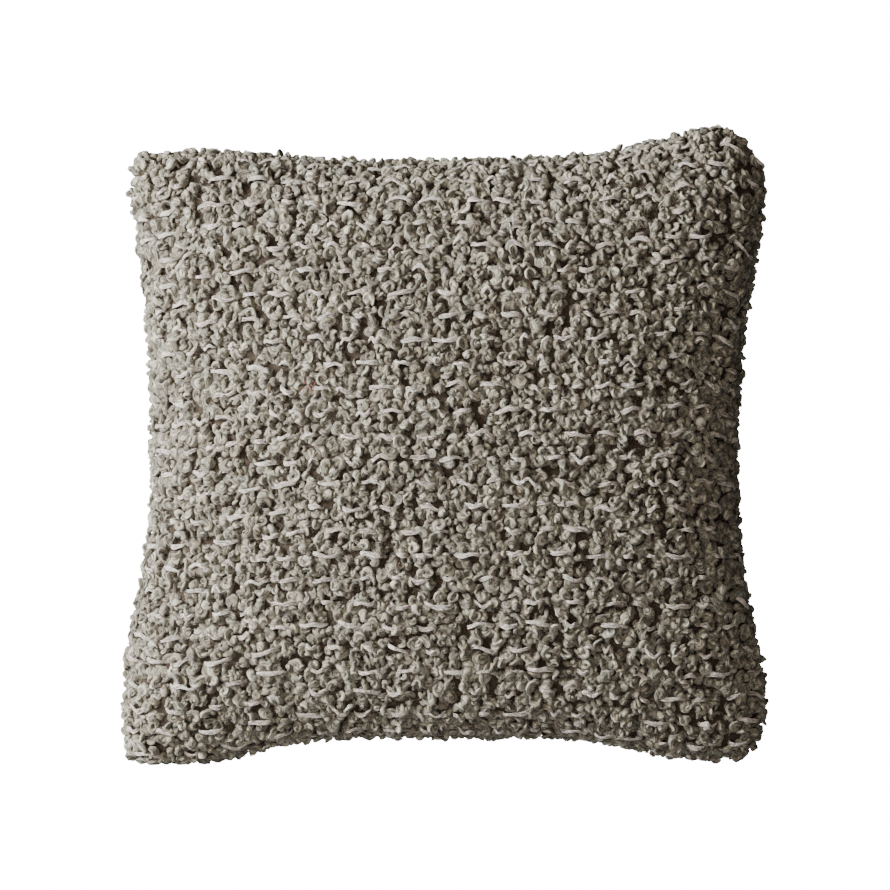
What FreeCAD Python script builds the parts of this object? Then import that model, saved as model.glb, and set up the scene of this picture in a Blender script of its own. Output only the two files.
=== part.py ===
import FreeCAD, Part
import math
import os

import Sketcher

from FreeCAD import Vector

# Throw pillow: a zipped bouclé cover over a fibre-filled insert, standing on its two bottom corners.
# Millimetres. The front faces -Y, +X is to the viewer's right, +Z is up and z = 0 is the floor.

os.makedirs("parts", exist_ok=True)

doc = FreeCAD.newDocument("throw_pillow")
sheet = doc.addObject("Spreadsheet::Sheet", "sizes")

SIZES = [
    ("width", 512, "corner to corner, left to right"),
    ("height", 514, "floor to the top corners"),
    ("depth", 160, "front to back at the middle"),
    ("side_pull", 20, "how far each upright side pulls in at its middle"),
    ("end_pull", 22, "how far the top and bottom pull in at their middles"),
    ("corner_round", 0.07, "share by which a corner is drawn towards the middle"),
    ("pad_sink", 14, "how much of each bottom corner the floor flattens"),
    ("edge_roll", 9, "half thickness of the rolled edge beside the seam"),
    ("front_cloth", 5, "thickness of the looped front cloth"),
    ("back_cloth", 1.2, "thickness of the plain back cloth"),
    ("lip_width", 11, "width of the seam allowance turned inside"),
    ("lip_thick", 1.2, "thickness of one seam allowance"),
    ("seam_gap", 0.5, "space between the two panels that the sewing thread fills"),
    ("thread_wide", 0.8, "width of a line of sewing thread"),
    ("insert_inset", 19, "from the cover's edge to the insert's edge"),
    ("insert_clear", 0.3, "between the cover and the insert"),
    ("casing_cloth", 0.6, "thickness of the insert's casing"),
    ("casing_gap", 0.4, "space between the two casings that their thread fills"),
    ("closing_length", 160, "hand-closed stretch of the insert's top seam"),
    ("zip_length", 300, "length of the zip tape"),
    ("zip_rise", 1.5, "from the bottom edge at its middle up to the underside of the coils"),
    ("tape_thick", 0.5, "thickness of the zip tape"),
    ("tape_leg", 9, "height of the part of the tape sewn to a panel"),
    ("coil_high", 2, "height of a zip coil"),
    ("coil_reach", 2.2, "width of one coil from its tape side to its tooth tips"),
    ("coil_spine", 0.8, "solid width of a coil behind its teeth"),
    ("coil_pitch", 1.6, "distance from tooth to tooth"),
    ("slit_half", 0.6, "half width of the slit that the slider's wedge runs in"),
    ("end_margin", 14, "tape left free beyond each end of the coils"),
    ("slide_clear", 0.3, "running clearance of the slider and the pull"),
    ("slider_long", 8.5, "length of the slider"),
    ("flange_clear", 0.35, "between the slider's flanges and the coils"),
    ("slot_clear", 0.15, "between the slider and the upright legs of the tapes"),
    ("slider_inner_wide", 5.68, "width of the slider's inner plate"),
    ("slider_plate", 1.1, "thickness of each slider plate"),
    ("slider_flange", 0.4, "thickness of the slider's side flanges"),
    ("flange_reach", 1.6, "how far the flanges stand up beside the coils"),
    ("wedge_long", 2.2, "length of the slider's wedge"),
    ("bail_long", 4.4, "length of the bail that holds the pull"),
    ("bail_wide", 2, "width of the bail"),
    ("bail_wall", 0.7, "thickness of the bail"),
    ("pivot_clear", 0.36, "running clearance of the pull's bar in the bail"),
    ("pull_long", 16, "length of the pull from its pivot to its tip"),
    ("pull_wide", 4.6, "width of the pull"),
    ("pull_thick", 1, "thickness of the pull"),
    ("pull_window", 3.2, "how far the pull's window reaches from the pivot"),
    ("grip_hole", 1.84, "diameter of the hole near the pull's tip"),
    ("stop_long", 2, "length of a zip stop"),
    ("tack_long", 1.6, "length of a bar tack"),
]

for row, (alias, number, note) in enumerate(SIZES, start=1):
    sheet.set("A%d" % row, alias)
    sheet.set("B%d" % row, str(number))
    sheet.set("C%d" % row, note)
    sheet.setAlias("B%d" % row, alias)
doc.recompute()

# How the surfaces and curves are drawn
GRID = 41
DEGREE = 3
CURVE_POINTS = 41
STRETCH_ROUNDS = 12
HALVINGS = 60

# The pillow's form: how quickly each line bends
EDGE_EASE = 0.93
EDGE_POWER = 4
CROWN_POWER = 0.88
SIDE_POWER = 2.2
END_POWER = 4
CORNER_POWER = 8

# Shares of a length: the ends of each sewn line, the stitch line across the seam allowance, the
# insert's and the filling's edge roll over the cover's, and the taper of a zip tooth
STRIP_END = 0.97
STITCH_PLACE = 0.45
INSERT_ROLL = 0.25
FILL_ROLL = 0.2
TOOTH_TAPER = 0.15

# Steps inwards at the insert's edge, counted in thicknesses of its casing
CASING_STEP = 4
CASING_LIP = 6
FILL_STEP = 7


def size(alias):
    return float(sheet.get(alias))


# Heights and places that several pieces share

def centre_height():
    """Height of the outline's middle, with the flattened part of the corners below the floor."""
    return (size("height") - size("pad_sink")) / 2


def half_height():
    return (size("height") + size("pad_sink")) / 2


def coil_floor():
    """Underside of the zip coils."""
    return size("end_pull") + size("zip_rise")


def slot_half():
    """Half width of the mouth between the panels at the zip, which the tapes line."""
    slider_half = size("slit_half") + size("coil_reach") + size("flange_clear") + size("slider_flange")
    return slider_half + size("slot_clear") + size("tape_thick")


def stretched_outline(s, t, inset, stretch_x, stretch_z):
    """Offsets (x, z) from the middle. The stretch makes up for what the rounded corners lose."""
    k = EDGE_EASE * math.pi / 2
    u = math.sin(k * s) / math.sin(k)
    v = math.sin(k * t) / math.sin(k)
    end_pull = size("end_pull") + (size("pad_sink") if v < 0 else 0)
    half_x = size("width") / 2
    half_z = half_height()
    side_dip = size("side_pull") + half_x * (stretch_x - 1)
    end_dip = end_pull + half_z * (stretch_z - 1)
    x = u * (half_x * stretch_x - inset - side_dip * (1 - abs(v) ** SIDE_POWER))
    z = v * (half_z * stretch_z - inset - end_dip * (1 - abs(u) ** END_POWER))
    draw_in = 1 - size("corner_round") * abs(u * v) ** CORNER_POWER
    return x * draw_in, z * draw_in


def full_size_stretch():
    """The stretch with which the rounded outline has its full width and height."""
    runs = [i / CURVE_POINTS for i in range(CURVE_POINTS + 1)]
    stretch_x = 1.0
    stretch_z = 1.0
    for _ in range(STRETCH_ROUNDS):
        widest = max(stretched_outline(1, run, 0, stretch_x, stretch_z)[0] for run in runs)
        tallest = max(stretched_outline(run, 1, 0, stretch_x, stretch_z)[1] for run in runs)
        stretch_x *= size("width") / 2 / widest
        stretch_z *= half_height() / tallest
    return stretch_x, stretch_z


STRETCH = full_size_stretch()


def outline_point(s, t, inset):
    """The place (x, z) on the pillow's middle plane for s and t from -1 to 1.

    The outer outline runs on below the floor, where the corner pads are cut; every inner one
    stays its own inset above them.
    """
    x, z = stretched_outline(s, t, inset, *STRETCH)
    height = centre_height() + z
    return x, max(height, inset) if inset else height


def half_depth(s, t, inset_depth, roll):
    """Distance of the cloth from the middle plane."""
    cs = max(0.0, math.cos(math.pi * s / 2))
    ct = max(0.0, math.cos(math.pi * t / 2))
    rolled = roll * (1 - (1 - cs) ** EDGE_POWER) * (1 - (1 - ct) ** EDGE_POWER)
    crown = size("depth") / 2 - inset_depth - roll
    return rolled + crown * (cs * ct) ** CROWN_POWER


def clamped(count):
    """Even knots for count poles, with the curve ending on its first and last pole."""
    spans = count - DEGREE
    knots = [i / spans for i in range(spans + 1)]
    mults = [DEGREE + 1] + [1] * (spans - 1) + [DEGREE + 1]
    return knots, mults


def dome(side, inset, inset_depth, roll, base):
    """One crowned face of the pillow, on the side -1 (front) or 1 (back)."""
    net = []
    for i in range(GRID):
        line = []
        for j in range(GRID):
            s = 2 * i / (GRID - 1) - 1
            t = 2 * j / (GRID - 1) - 1
            x, z = outline_point(s, t, inset)
            line.append(Vector(x, side * (base + half_depth(s, t, inset_depth, roll)), z))
        net.append(line)
    knots, mults = clamped(GRID)
    surface = Part.BSplineSurface()
    surface.buildFromPolesMultsKnots(net, mults, mults, knots, knots, False, False, DEGREE, DEGREE)
    return surface.toShape()


def closed_solid(faces):
    shell = Part.makeShell(faces)
    shell.sewShape()
    solid = Part.makeSolid(shell)
    if solid.Volume < 0:
        solid.reverse()
    return solid


def wire_of(face):
    return Part.Wire(Part.__sortEdges__(face.Edges))


def outline_wire(inset, y):
    sides = ("left", "top", "right", "bottom")
    return Part.Wire(Part.__sortEdges__([side_curve(side, inset, -1, 1, y) for side in sides]))


def ring_face(outer_wire, inner_wire):
    ring = Part.Face([outer_wire, inner_wire])
    ring.validate()
    return ring


def bowl(side, outer, inner, base, lip):
    """A cloth panel: an outer dome, an inner dome, and a flat lip turned inside between them."""
    lip_inset, lip_thick = lip
    outer_face = dome(side, *outer, base)
    inner_face = dome(side, *inner, base + lip_thick)
    low = outline_wire(lip_inset, side * base)
    wall = low.extrude(Vector(0, side * lip_thick, 0))
    high = low.translated(Vector(0, side * lip_thick, 0))
    rim = ring_face(wire_of(outer_face), low)
    step = ring_face(wire_of(inner_face), high)
    return closed_solid([outer_face, rim] + wall.Faces + [step, inner_face])


def side_curve(side, inset, first, last, y):
    """A stretch of one side of the outline, moved in by inset, from first to last (-1 to 1)."""
    points = []
    for i in range(CURVE_POINTS):
        run = first + (last - first) * i / (CURVE_POINTS - 1)
        s, t = {
            "left": (-1, run),
            "right": (1, run),
            "bottom": (run, -1),
            "top": (run, 1),
        }[side]
        x, z = outline_point(s, t, inset)
        points.append(Vector(x, y, z))
    knots, mults = clamped(CURVE_POINTS)
    curve = Part.BSplineCurve()
    curve.buildFromPolesMultsKnots(points, mults, knots, False, DEGREE)
    return curve.toShape()


def strip(side, inset, wide, first, last, y_low, y_high):
    """A flat strip that follows one side of the outline."""
    outer = side_curve(side, inset, first, last, y_low)
    inner = side_curve(side, inset + wide, first, last, y_low)
    ends = []
    for index in (0, -1):
        a = outer.Vertexes[index].Point
        b = inner.Vertexes[index].Point
        ends.append(Part.makeLine(a, b))
    wire = Part.Wire(Part.__sortEdges__([outer, inner] + ends))
    return Part.Face(wire).extrude(Vector(0, y_high - y_low, 0))


def run_at(x, inset, t=-1):
    """The value of s at which the bottom side of the outline (the top side for t = 1) reaches x."""
    low, high = -1.0, 1.0
    for _ in range(HALVINGS):
        middle = (low + high) / 2
        if outline_point(middle, t, inset)[0] < x:
            low = middle
        else:
            high = middle
    return (low + high) / 2


def box(x0, x1, y0, y1, z0, z1):
    return Part.makeBox(x1 - x0, y1 - y0, z1 - z0, Vector(x0, y0, z0))


def add_shape(label, shape):
    """A free-form piece. Its sizes come from the sheet through the functions above."""
    piece = doc.addObject("Part::Feature", label)
    piece.Label = label
    piece.Shape = shape
    piece.Placement = FreeCAD.Placement()
    return piece


# Cover

def zip_mouth():
    half = size("zip_length") / 2
    slot = slot_half()
    top = coil_floor() + size("coil_high") + size("tape_leg") + size("insert_inset")
    return box(-half, half, -slot, slot, -size("pad_sink") * 2, top)


def below_floor():
    reach = size("width")
    return box(-reach, reach, -size("depth"), size("depth"), -size("height"), 0)


def cover_panel(label, side, cloth):
    base = size("seam_gap") / 2
    roll = size("edge_roll")
    lip_thick = size("lip_thick")
    outer = (0, base, roll)
    inner = (size("front_cloth"), base + cloth + lip_thick, roll - cloth)
    lip = (size("front_cloth") + size("lip_width"), lip_thick)
    panel = bowl(side, outer, inner, base, lip)
    panel = panel.cut(zip_mouth())
    panel = panel.cut(below_floor())
    return add_shape(label, panel.Solids[0])


def seam_threads():
    """The lockstitch lines that hold the two seam allowances together."""
    inset = size("front_cloth") + size("lip_width") * STITCH_PLACE
    gap = size("seam_gap") / 2
    wide = size("thread_wide")
    half_zip = size("zip_length") / 2 + wide
    spans = {
        "seam_thread_left": ("left", -STRIP_END, STRIP_END),
        "seam_thread_right": ("right", -STRIP_END, STRIP_END),
        "seam_thread_top": ("top", -STRIP_END, STRIP_END),
        "seam_thread_bottom_left": ("bottom", -STRIP_END, run_at(-half_zip, inset)),
        "seam_thread_bottom_right": ("bottom", run_at(half_zip, inset), STRIP_END),
    }
    for label, (side, first, last) in spans.items():
        add_shape(label, strip(side, inset, wide, first, last, -gap, gap))


# Insert

def insert_depth(layers):
    """How far the insert's surface lies inside the cover's outer face, with layers of casing."""
    thickest = size("seam_gap") / 2 + size("front_cloth") + size("insert_clear")
    return thickest + layers * size("casing_cloth")


def casing(label, side):
    inset = size("insert_inset")
    cloth = size("casing_cloth")
    base = size("casing_gap") / 2
    roll = size("edge_roll") * INSERT_ROLL
    outer = (inset, insert_depth(0) + base, roll)
    inner = (inset + CASING_STEP * cloth, insert_depth(1) + base + cloth, roll - cloth / 2)
    lip = (inset + CASING_LIP * cloth, cloth)
    return add_shape(label, bowl(side, outer, inner, base, lip))


def insert_threads():
    inset = size("insert_inset")
    wide = size("casing_cloth")
    gap = size("casing_gap") / 2
    closing = run_at(size("closing_length") / 2, inset, 1)
    sewn = [
        ("left", -STRIP_END, STRIP_END),
        ("right", -STRIP_END, STRIP_END),
        ("bottom", -STRIP_END, STRIP_END),
        ("top", -STRIP_END, -closing),
        ("top", closing, STRIP_END),
    ]
    lines = [strip(side, inset, wide, a, b, -gap, gap) for side, a, b in sewn]
    add_shape("insert_thread", Part.makeCompound(lines))
    short = closing * STRIP_END
    add_shape("insert_closing_thread", strip("top", inset, wide, -short, short, -gap, gap))


def fibre_fill():
    cloth = size("casing_cloth")
    inset = size("insert_inset") + FILL_STEP * cloth
    depth = insert_depth(1.5) + size("casing_gap") / 2 + cloth
    roll = size("edge_roll") * FILL_ROLL
    front = dome(-1, inset, depth, roll, 0)
    back = dome(1, inset, depth, roll, 0)
    return add_shape("fibre_fill", closed_solid([front, back]))


# Zip: tapes and coils

def expression_box(label, place, extent):
    """A Part box whose corner and sides are expressions in the sheet's aliases."""
    piece = doc.addObject("Part::Box", label)
    for axis, text in zip(("x", "y", "z"), place):
        piece.setExpression("Placement.Base.%s" % axis, text)
    for side, text in zip(("Length", "Width", "Height"), extent):
        piece.setExpression(side, text)
    return piece


def refer(text):
    """Put the sheet's name before every alias in an expression."""
    words = sorted((alias for alias, _, _ in SIZES), key=len, reverse=True)
    result = ""
    i = 0
    while i < len(text):
        match = next((w for w in words if text.startswith(w, i)), None)
        if match:
            result += "sizes." + match
            i += len(match)
        else:
            result += text[i]
            i += 1
    return result


SLIDER_HALF = "(slit_half + coil_reach + flange_clear + slider_flange)"
SLOT_HALF = "(slit_half + coil_reach + flange_clear + slider_flange + slot_clear + tape_thick)"
COIL_FLOOR = "(end_pull + zip_rise)"
TAPE_FLOOR = "(end_pull + zip_rise + coil_high)"


def axis_plane(body, role):
    for feature in body.Origin.OriginFeatures:
        if feature.Role == role:
            return feature
    raise ValueError(role)


def zip_tape(label, side):
    """An L-shaped tape: one leg is sewn to the panel and the other carries the coil."""
    body = doc.addObject("PartDesign::Body", label)
    body.Label = label
    sketch = body.newObject("Sketcher::SketchObject", label + "_profile")
    sketch.AttachmentSupport = [(axis_plane(body, "YZ_Plane"), "")]
    sketch.MapMode = "FlatFace"
    slot = side * slot_half()
    inner = side * (slot_half() - size("tape_thick"))
    tip = side * size("slit_half")
    low = coil_floor() + size("coil_high")
    shelf = low + size("tape_thick")
    top = low + size("tape_leg")
    corners = [(tip, low), (slot, low), (slot, top), (inner, top), (inner, shelf), (tip, shelf)]
    for i, start in enumerate(corners):
        end = corners[(i + 1) % len(corners)]
        sketch.addGeometry(Part.LineSegment(Vector(*start, 0), Vector(*end, 0)), False)
    for i in range(len(corners)):
        sketch.addConstraint(Sketcher.Constraint("Coincident", i, 2, (i + 1) % len(corners), 1))
        kind = "Horizontal" if i % 2 == 0 else "Vertical"
        sketch.addConstraint(Sketcher.Constraint(kind, i))
    sign = "-" if side < 0 else ""
    rules = [
        ("DistanceX", (-1, 1, 0, 1), tip, sign + "slit_half"),
        ("DistanceX", (-1, 1, 1, 1), slot, sign + SLOT_HALF),
        ("DistanceY", (-1, 1, 0, 1), low, TAPE_FLOOR),
        ("DistanceY", (-1, 1, 2, 1), top, TAPE_FLOOR + " + tape_leg"),
        ("DistanceX", (-1, 1, 3, 2), inner, sign + "(" + SLOT_HALF + " - tape_thick)"),
        ("DistanceY", (-1, 1, 4, 2), shelf, TAPE_FLOOR + " + tape_thick"),
    ]
    for kind, places, number, text in rules:
        index = sketch.addConstraint(Sketcher.Constraint(kind, *places, number))
        sketch.setExpression("Constraints[%d]" % index, refer(text))
    pad = body.newObject("PartDesign::Pad", label + "_pad")
    pad.Profile = sketch
    pad.Midplane = True
    pad.setExpression("Length", refer("zip_length"))
    body.Tip = pad
    return body


def zip_coil(label, side):
    """A comb of teeth on a spine, standing in for the wound filament."""
    half = size("zip_length") / 2 - size("end_margin")
    pitch = size("coil_pitch")
    tip = size("slit_half")
    root = tip + size("coil_reach") - size("coil_spine")
    back = tip + size("coil_reach")
    tooth = pitch / 2
    count = int(2 * half / pitch)
    stagger = pitch / 4 if side > 0 else 0
    first = stagger - count * pitch / 2
    floor = coil_floor()
    points = [Vector(-half, side * back, floor), Vector(-half, side * root, floor)]
    for i in range(count - 1):
        x = first + i * pitch + tooth / 2
        points += [
            Vector(x, side * root, floor),
            Vector(x + tooth * TOOTH_TAPER, side * tip, floor),
            Vector(x + tooth * (1 - TOOTH_TAPER), side * tip, floor),
            Vector(x + tooth, side * root, floor),
        ]
    points += [Vector(half, side * root, floor), Vector(half, side * back, floor)]
    points.append(points[0])
    comb = Part.Face(Part.makePolygon(points)).extrude(Vector(0, 0, size("coil_high")))
    return add_shape(label, comb)


def zip_stitch(label, side):
    low = SLOT_HALF + " - tape_thick - thread_wide / 2"
    piece = expression_box(
        label,
        (
            refer("-zip_length / 2 + end_margin / 2"),
            refer(low if side > 0 else "-" + SLOT_HALF + " + tape_thick"),
            refer(TAPE_FLOOR + " + tape_leg / 2"),
        ),
        (refer("zip_length - end_margin"), refer("thread_wide / 2"), refer("thread_wide")),
    )
    return piece


def fused(label, *pieces):
    union = doc.addObject("Part::MultiFuse", label)
    union.Shapes = list(pieces)
    union.Refine = True
    return union


def paired(label, *pieces):
    """Several separate solids kept as one node."""
    group = doc.addObject("Part::Compound", label)
    group.Links = list(pieces)
    return group


def zip_top_stops():
    wide = refer("coil_reach")
    x = refer("zip_length / 2 - end_margin + slide_clear")
    z = refer(COIL_FLOOR)
    long = refer("stop_long")
    high = refer("coil_high")
    front = expression_box("top_stop_front", (x, refer("-slit_half - coil_reach"), z), (long, wide, high))
    back = expression_box("top_stop_back", (x, refer("slit_half"), z), (long, wide, high))
    return paired("zip_top_stops", front, back)


def zip_bottom_stop():
    return expression_box(
        "zip_bottom_stop",
        (
            refer("-zip_length / 2 + end_margin - slide_clear - stop_long"),
            refer("-slit_half - coil_reach"),
            refer(COIL_FLOOR),
        ),
        (refer("stop_long"), refer("2 * (slit_half + coil_reach)"), refer("coil_high")),
    )


def zip_bar_tacks():
    """Sewn bars across both tapes at the ends of the zip."""
    y = refer("-" + SLOT_HALF + " + tape_thick")
    wide = refer("2 * (" + SLOT_HALF + " - tape_thick)")
    z = refer(TAPE_FLOOR + " + tape_thick")
    extent = (refer("tack_long"), wide, refer("thread_wide"))
    left = expression_box("tack_left", (refer("-zip_length / 2"), y, z), extent)
    right = expression_box("tack_right", (refer("zip_length / 2 - tack_long"), y, z), extent)
    return paired("zip_bar_tacks", left, right)


# Zip: slider and pull, drawn at the closed end

SLIDER_X = "(zip_length / 2 - end_margin - slider_long / 2)"
PLATE_TOP = "(end_pull + zip_rise - slide_clear)"
PIVOT_Z = "(end_pull + zip_rise - slide_clear - slider_plate - pull_thick / 2 - pivot_clear)"
UPPER_Z = "(end_pull + zip_rise + coil_high + tape_thick + slide_clear)"


def slider_box(label, x, y, z, extent):
    """A box of the slider. x is measured from the slider's middle."""
    return expression_box(label, (refer(SLIDER_X + x), refer(y), refer(z)), tuple(map(refer, extent)))


def slider_bail():
    """The bridge under the outer plate that the pull's bar runs through."""
    tunnel_floor = PIVOT_Z + " - pull_thick / 2 - pivot_clear"
    bridge = slider_box(
        "bail_block",
        " - bail_long / 2",
        "-bail_wide / 2",
        tunnel_floor + " - bail_wall",
        ("bail_long", "bail_wide", "bail_wall + pull_thick + 2 * pivot_clear + slider_plate / 2"),
    )
    tunnel = slider_box(
        "bail_tunnel",
        " - bail_long / 2 + bail_wall",
        "-bail_wide",
        tunnel_floor,
        ("bail_long - 2 * bail_wall", "2 * bail_wide", "pull_thick + 2 * pivot_clear"),
    )
    bail = doc.addObject("Part::Cut", "bail")
    bail.Base = bridge
    bail.Tool = tunnel
    return bail


def zip_slider():
    end = " - slider_long / 2"
    outer = slider_box(
        "slider_outer_plate",
        end,
        "-" + SLIDER_HALF,
        PLATE_TOP + " - slider_plate",
        ("slider_long", "2 * " + SLIDER_HALF, "slider_plate"),
    )
    inner = slider_box(
        "slider_inner_plate",
        end,
        "-slider_inner_wide / 2",
        UPPER_Z,
        ("slider_long", "slider_inner_wide", "slider_plate"),
    )
    wedge = slider_box(
        "slider_wedge",
        " + slider_long / 2 - wedge_long",
        "-(slit_half - slide_clear)",
        PLATE_TOP + " - slider_plate / 2",
        (
            "wedge_long",
            "2 * (slit_half - slide_clear)",
            "coil_high + tape_thick + slider_plate + 2 * slide_clear",
        ),
    )
    flanges = [
        slider_box(
            "slider_flange_" + name,
            end,
            y,
            PLATE_TOP + " - slider_plate / 2",
            ("slider_long", "slider_flange", "flange_reach + slider_plate / 2"),
        )
        for name, y in (("front", "-" + SLIDER_HALF), ("back", SLIDER_HALF + " - slider_flange"))
    ]
    return fused("zip_slider", outer, inner, wedge, *flanges, slider_bail())


def zip_pull():
    """A flat tab lying along the zip, whose round bar runs through the bail."""
    tab = expression_box(
        "pull_tab",
        (refer(SLIDER_X + " - pull_long"), refer("-pull_wide / 2"), refer(PIVOT_Z + " - pull_thick / 2")),
        (refer("pull_long"), refer("pull_wide"), refer("pull_thick")),
    )
    window = expression_box(
        "pull_window_cutter",
        (
            refer(SLIDER_X + " - pull_window"),
            refer("-bail_wide / 2 - slide_clear"),
            refer(PIVOT_Z + " - pull_thick"),
        ),
        (
            refer("pull_window + pull_thick"),
            refer("bail_wide + 2 * slide_clear"),
            refer("2 * pull_thick"),
        ),
    )
    grip = doc.addObject("Part::Cylinder", "pull_grip_hole")
    grip.setExpression("Radius", refer("grip_hole / 2"))
    grip.setExpression("Height", refer("2 * pull_thick"))
    grip.setExpression("Placement.Base.x", refer(SLIDER_X + " - pull_long + pull_wide / 2"))
    grip.setExpression("Placement.Base.z", refer(PIVOT_Z + " - pull_thick"))
    bar = doc.addObject("Part::Cylinder", "pull_bar")
    bar.setExpression("Radius", refer("pull_thick / 2"))
    bar.setExpression("Height", refer("pull_wide"))
    bar.Placement.Rotation = FreeCAD.Rotation(Vector(1, 0, 0), 90)
    bar.setExpression("Placement.Base.x", refer(SLIDER_X))
    bar.setExpression("Placement.Base.y", refer("pull_wide / 2"))
    bar.setExpression("Placement.Base.z", refer(PIVOT_Z))
    without_window = doc.addObject("Part::Cut", "pull_with_window")
    without_window.Base = tab
    without_window.Tool = window
    tab_with_holes = doc.addObject("Part::Cut", "pull_with_holes")
    tab_with_holes.Base = without_window
    tab_with_holes.Tool = grip
    return fused("zip_pull", tab_with_holes, bar)


NODES = (
    "front_panel",
    "back_panel",
    "seam_thread_left",
    "seam_thread_right",
    "seam_thread_top",
    "seam_thread_bottom_left",
    "seam_thread_bottom_right",
    "insert_front",
    "insert_back",
    "insert_thread",
    "insert_closing_thread",
    "fibre_fill",
    "zip_tape_front",
    "zip_tape_back",
    "zip_coil_front",
    "zip_coil_back",
    "zip_stitch_front",
    "zip_stitch_back",
    "zip_top_stops",
    "zip_bottom_stop",
    "zip_bar_tacks",
    "zip_slider",
    "zip_pull",
)


def build():
    cover_panel("front_panel", -1, size("front_cloth"))
    cover_panel("back_panel", 1, size("back_cloth"))
    seam_threads()
    casing("insert_front", -1)
    casing("insert_back", 1)
    insert_threads()
    fibre_fill()
    for name, side in (("front", -1), ("back", 1)):
        zip_tape("zip_tape_" + name, side)
        zip_coil("zip_coil_" + name, side)
        zip_stitch("zip_stitch_" + name, side)
    zip_top_stops()
    zip_bottom_stop()
    zip_bar_tacks()
    zip_slider()
    zip_pull()
    doc.recompute()


def write_parts():
    for item in doc.Objects:
        if "Invalid" in item.State or "Error" in item.State:
            raise RuntimeError("%s is %s" % (item.Label, item.State))
    for label in NODES:
        item = doc.getObjectsByLabel(label)[0]
        shape = item.Shape
        if shape.isNull() or not shape.isValid():
            raise RuntimeError("%s has no valid shape" % label)
        if shape.Volume <= 0:
            raise RuntimeError("%s has no volume" % label)
        item.Shape.exportStep("parts/%s.step" % label)


build()
write_parts()
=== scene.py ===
import math

import bpy
import numpy as np
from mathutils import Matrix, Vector


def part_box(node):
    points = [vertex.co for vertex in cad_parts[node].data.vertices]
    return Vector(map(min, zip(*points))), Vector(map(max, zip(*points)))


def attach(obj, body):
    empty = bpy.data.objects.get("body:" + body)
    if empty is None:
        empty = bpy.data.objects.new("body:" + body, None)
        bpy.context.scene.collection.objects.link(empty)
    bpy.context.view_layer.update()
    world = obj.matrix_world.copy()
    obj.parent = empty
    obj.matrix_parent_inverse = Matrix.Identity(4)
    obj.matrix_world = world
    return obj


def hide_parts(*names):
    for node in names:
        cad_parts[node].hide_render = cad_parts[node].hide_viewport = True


# The looks of the throw pillow, in metres, in the row frame: the front faces -Y and z = 0 is the floor.

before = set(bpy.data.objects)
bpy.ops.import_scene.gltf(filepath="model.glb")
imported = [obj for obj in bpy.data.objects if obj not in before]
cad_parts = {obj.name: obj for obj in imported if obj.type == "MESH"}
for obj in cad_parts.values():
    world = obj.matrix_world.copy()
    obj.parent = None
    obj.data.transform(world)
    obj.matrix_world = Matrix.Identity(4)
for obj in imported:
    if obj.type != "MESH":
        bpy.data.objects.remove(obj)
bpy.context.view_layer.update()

MM = 0.001
RNG = np.random.default_rng(573)

FRONT_LOW, FRONT_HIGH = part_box("front_panel")
TAPE_LOW, TAPE_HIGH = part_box("zip_tape_front")
INSERT_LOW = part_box("insert_front")[0]

HALF_WIDTH = (FRONT_HIGH.x - FRONT_LOW.x) / 2
HEIGHT = FRONT_HIGH.z
HALF_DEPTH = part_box("back_panel")[1].y
ZIP_HALF = (TAPE_HIGH.x - TAPE_LOW.x) / 2
MOUTH_HALF = -TAPE_LOW.y
SLIDER_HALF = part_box("zip_slider")[1].y
ZIP_TOP = TAPE_HIGH.z

# The pillow's form. Each face starts CLOTH_BASE off the middle plane and opens to MOUTH_HALF at the zip.
PAD_SINK = 14 * MM
MIDDLE_Z = (HEIGHT - PAD_SINK) / 2
HALF_HEIGHT = (HEIGHT + PAD_SINK) / 2
SIDE_PULL = 20 * MM
END_PULL = 22 * MM
EDGE_ROLL = 9 * MM
EDGE_EASE = 0.93
CROWN_POWER = 0.88
SIDE_POWER = 2.2
END_POWER = 4
ROLL_POWER = 4
CORNER_ROUND = 0.075
CORNER_POWER = 8
BUMP_POWER = 3
CLOTH_BASE = 0.3 * MM
MOUTH_EASE = 12 * MM
MOUTH_POWER = 8
FOOT_SHARE = 0.2
FLOOR_CLEAR = 0.05 * MM
PULL_CLEAR = 0.5 * MM

# The looped cloth
GROUND_DROP = 5 * MM
GROUND_INSET = 3.5 * MM
GROUND_THICK = 1.5 * MM
ROW_PITCH = 18.6 * MM
NUB_PITCH = 9.4 * MM
ROLL_REACH = 0.985

# The plain cloth
BACK_INSET = 4.5 * MM
BACK_THICK = 1.2 * MM
BACK_TURN_IN = 1.5 * MM
OUTER_PUCKER = 0.9 * MM
INNER_PUCKER = 0.5 * MM

# Stitches
SEAM_INSET = 10 * MM
STITCH_PITCH = 3.2 * MM
STITCH_LENGTH = 2.6 * MM
STITCH_RADIUS = 0.25 * MM
SEAM_END = 0.97

# The form coordinate of the zip's ends, over their share of the half width
ZIP_END_EASE = 0.72


def form_edge(p):
    k = EDGE_EASE * math.pi / 2
    return np.sin(k * p) / math.sin(k)


# Unevenness of the outline: side, place along it (-1 to 1), spread, and how far it stands out in mm
OUTLINE_BUMPS = (
    ("left", -0.56, 0.26, 10),
    ("left", 0.75, 0.15, -2),
    ("left", -1.00, 0.10, -9),
    ("left", 0.98, 0.10, -5),
    ("right", 0.62, 0.30, 5),
    ("right", -0.62, 0.25, 7),
    ("right", -1.00, 0.12, -14),
    ("right", 1.00, 0.09, -7),
    ("top", -0.15, 0.70, -6),
    ("top", 0.78, 0.20, 8),
    ("top", 1.02, 0.11, -22),
    ("top", -0.97, 0.20, -21),
    ("bottom", -0.70, 0.20, 7),
    ("bottom", 0.62, 0.16, 4),
    ("bottom", 1.00, 0.15, -18),
)


def outline_bump(side, run):
    total = np.zeros_like(run)
    for name, place, spread, out in OUTLINE_BUMPS:
        if name == side:
            total += out * MM * np.exp(-((run - place) / spread) ** 2)
    return total


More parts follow.
